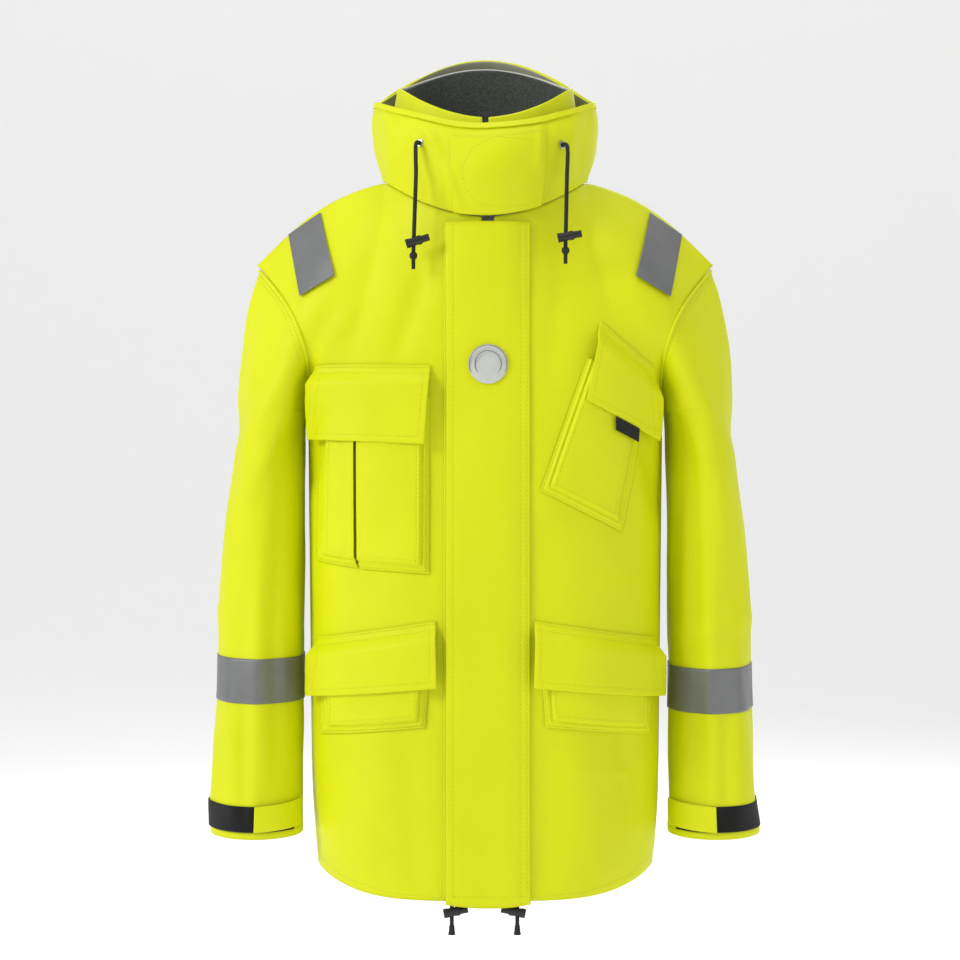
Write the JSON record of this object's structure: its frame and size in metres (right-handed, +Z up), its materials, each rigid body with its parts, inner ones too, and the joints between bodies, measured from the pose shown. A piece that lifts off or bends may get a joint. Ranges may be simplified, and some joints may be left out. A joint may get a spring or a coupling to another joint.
{
  "type": "foul weather jacket",
  "caption": "Hooded waterproof sailing jacket with a stand-up collar, storm flap over a front zip, bellows pockets with flaps, cuff tabs and drawcord locks.",
  "frame": {"origin": "middle of the neck opening, level with the back neck seam, where the wearer carries the jacket", "axes": "+Z up, the front faces -Y, -X is the wearer's right"},
  "size_m": [0.6306, 0.3298, 0.9989],
  "materials": {
    "shell_fabric": "coated nylon, semi-matt",
    "collar_fleece": "brushed fleece",
    "reflective_tape": "glass-bead tape",
    "hook_and_loop": "loop pile",
    "webbing": "woven",
    "drawcord": "braided",
    "lock_plastic": "satin",
    "zip_teeth": "moulded",
    "plated_metal": "plated",
    "badge_face": "woven"
  },
  "bodies": {
    "torso": {"front_panel_right": "shell_fabric", "front_panel_left": "shell_fabric", "back_panel": "shell_fabric", "hem_channel": "shell_fabric", "collar_shell": "shell_fabric", "collar_lining": "collar_fleece", "hood_shell": "shell_fabric", "hood_brim": "shell_fabric", "inner_placket": "shell_fabric", "placket_loop_strip": "hook_and_loop", "zip_chain_right": "zip_teeth", "zip_chain_left": "zip_teeth", "zip_box": "zip_teeth", "chest_pocket_right": "shell_fabric", "slit_pocket_right": "shell_fabric", "chest_pocket_left": "shell_fabric", "hip_pocket_right": "shell_fabric", "hip_pocket_left": "shell_fabric", "shoulder_tape_right": "reflective_tape", "shoulder_tape_left": "reflective_tape", "hanger_loop": "webbing", "hood_eyelet_right": "plated_metal", "hood_eyelet_left": "plated_metal", "hood_cord_right": "drawcord", "hood_cord_left": "drawcord", "hem_cord_right": "drawcord", "hem_cord_left": "drawcord", "hood_knot_right": "drawcord", "hood_knot_left": "drawcord", "hem_cord_end_right": "lock_plastic", "hem_cord_end_left": "lock_plastic"},
    "right_sleeve": {"sleeve_right": "shell_fabric", "sleeve_tape_right": "reflective_tape", "cuff_strip_right": "hook_and_loop"},
    "left_sleeve": {"sleeve_left": "shell_fabric", "sleeve_tape_left": "reflective_tape", "cuff_strip_left": "hook_and_loop"},
    "right_cuff_tab": {"cuff_tab_right": "shell_fabric"},
    "left_cuff_tab": {"cuff_tab_left": "shell_fabric"},
    "front_flap": {"storm_flap": "shell_fabric", "badge": "badge_face"},
    "chin_tab": {"chin_tab": "shell_fabric"},
    "zip_slider": {"zip_slider": "plated_metal", "zip_puller": "plated_metal"},
    "right_chest_flap": {"chest_flap_right": "shell_fabric"},
    "left_chest_flap": {"chest_flap_left": "shell_fabric", "flap_pull_tab": "webbing"},
    "right_hip_flap": {"hip_flap_right": "shell_fabric"},
    "left_hip_flap": {"hip_flap_left": "shell_fabric"},
    "hood_lock_right": {"hood_lock_right_barrel": "lock_plastic"},
    "hood_lock_right_button": {"hood_lock_right_button": "lock_plastic"},
    "hood_lock_left": {"hood_lock_left_barrel": "lock_plastic"},
    "hood_lock_left_button": {"hood_lock_left_button": "lock_plastic"},
    "hem_lock_right": {"hem_lock_right_barrel": "lock_plastic"},
    "hem_lock_right_button": {"hem_lock_right_button": "lock_plastic"},
    "hem_lock_left": {"hem_lock_left_barrel": "lock_plastic"},
    "hem_lock_left_button": {"hem_lock_left_button": "lock_plastic"}
  },
  "joints": [
    {"name": "right_shoulder_swing", "type": "hinge", "parent": "torso", "child": "right_sleeve", "pos_m": [-0.248, 0, -0.1305], "axis": [0, 1, 0], "range_deg": [0, 75]},
    {"name": "left_shoulder_swing", "type": "hinge", "parent": "torso", "child": "left_sleeve", "pos_m": [0.248, 0, -0.1305], "axis": [0, -1, 0], "range_deg": [0, 75]},
    {"name": "right_cuff_tab_hinge", "type": "hinge", "parent": "right_sleeve", "child": "right_cuff_tab", "pos_m": [-0.2072, -0.044, -0.753], "axis": [0, 0, 1], "range_deg": [0, 60]},
    {"name": "left_cuff_tab_hinge", "type": "hinge", "parent": "left_sleeve", "child": "left_cuff_tab", "pos_m": [0.2072, -0.044, -0.753], "axis": [0, 0, -1], "range_deg": [0, 60]},
    {"name": "front_flap_hinge", "type": "hinge", "parent": "torso", "child": "front_flap", "pos_m": [0.0504, -0.138, -0.51], "axis": [0.001, 0.0586, 0.9983], "range_deg": [0, 110]},
    {"name": "chin_tab_hinge", "type": "hinge", "parent": "torso", "child": "chin_tab", "pos_m": [0.0705, -0.1185, -0.03], "axis": [0, 0.03, 0.9996], "range_deg": [0, 120]},
    {"name": "right_chest_flap_hinge", "type": "hinge", "parent": "torso", "child": "right_chest_flap", "pos_m": [-0.1256, -0.1146, -0.2504], "axis": [-0.951, 0.309, 0.0095], "range_deg": [0, 110]},
    {"name": "left_chest_flap_hinge", "type": "hinge", "parent": "torso", "child": "left_chest_flap", "pos_m": [0.1595, -0.1036, -0.227], "axis": [-0.7245, -0.3402, 0.5994], "range_deg": [0, 110]},
    {"name": "right_hip_flap_hinge", "type": "hinge", "parent": "torso", "child": "right_hip_flap", "pos_m": [-0.1239, -0.1254, -0.5453], "axis": [-0.8742, 0.4671, -0.133], "range_deg": [0, 110]},
    {"name": "left_hip_flap_hinge", "type": "hinge", "parent": "torso", "child": "left_hip_flap", "pos_m": [0.1239, -0.1254, -0.5453], "axis": [-0.8742, -0.4671, 0.133], "range_deg": [0, 110]},
    {"name": "zip_slide", "type": "slide", "parent": "torso", "child": "zip_slider", "axis": [0, -0.0504, -0.9987], "range_m": [0, 0.715]},
    {"name": "hood_lock_right_slide", "type": "slide", "parent": "torso", "child": "hood_lock_right", "axis": [0.0333, 0.0238, 0.9992], "range_m": [0, 0.06]},
    {"name": "hood_lock_left_slide", "type": "slide", "parent": "torso", "child": "hood_lock_left", "axis": [0.023, 0.0716, 0.9972], "range_m": [0, 0.055]},
    {"name": "hem_lock_right_slide", "type": "slide", "parent": "torso", "child": "hem_lock_right", "axis": [0, 0, 1], "range_m": [-0.006, 0]},
    {"name": "hem_lock_left_slide", "type": "slide", "parent": "torso", "child": "hem_lock_left", "axis": [0, 0, 1], "range_m": [-0.006, 0]},
    {"name": "hood_lock_right_press", "type": "slide", "parent": "hood_lock_right", "child": "hood_lock_right_button", "axis": [-0.9563, 0, -0.2924], "range_m": [0, 0.0045], "stiffness_N_per_m": 500, "springref_m": -0.004},
    {"name": "hood_lock_left_press", "type": "slide", "parent": "hood_lock_left", "child": "hood_lock_left_button", "axis": [-0.9816, 0, -0.1908], "range_m": [0, 0.0045], "stiffness_N_per_m": 500, "springref_m": -0.004},
    {"name": "hem_lock_right_press", "type": "slide", "parent": "hem_lock_right", "child": "hem_lock_right_button", "axis": [-0.9816, 0, -0.1908], "range_m": [0, 0.0045], "stiffness_N_per_m": 500, "springref_m": -0.004},
    {"name": "hem_lock_left_press", "type": "slide", "parent": "hem_lock_left", "child": "hem_lock_left_button", "axis": [0.9816, 0, -0.1908], "range_m": [0, 0.0045], "stiffness_N_per_m": 500, "springref_m": -0.004}
  ]
}
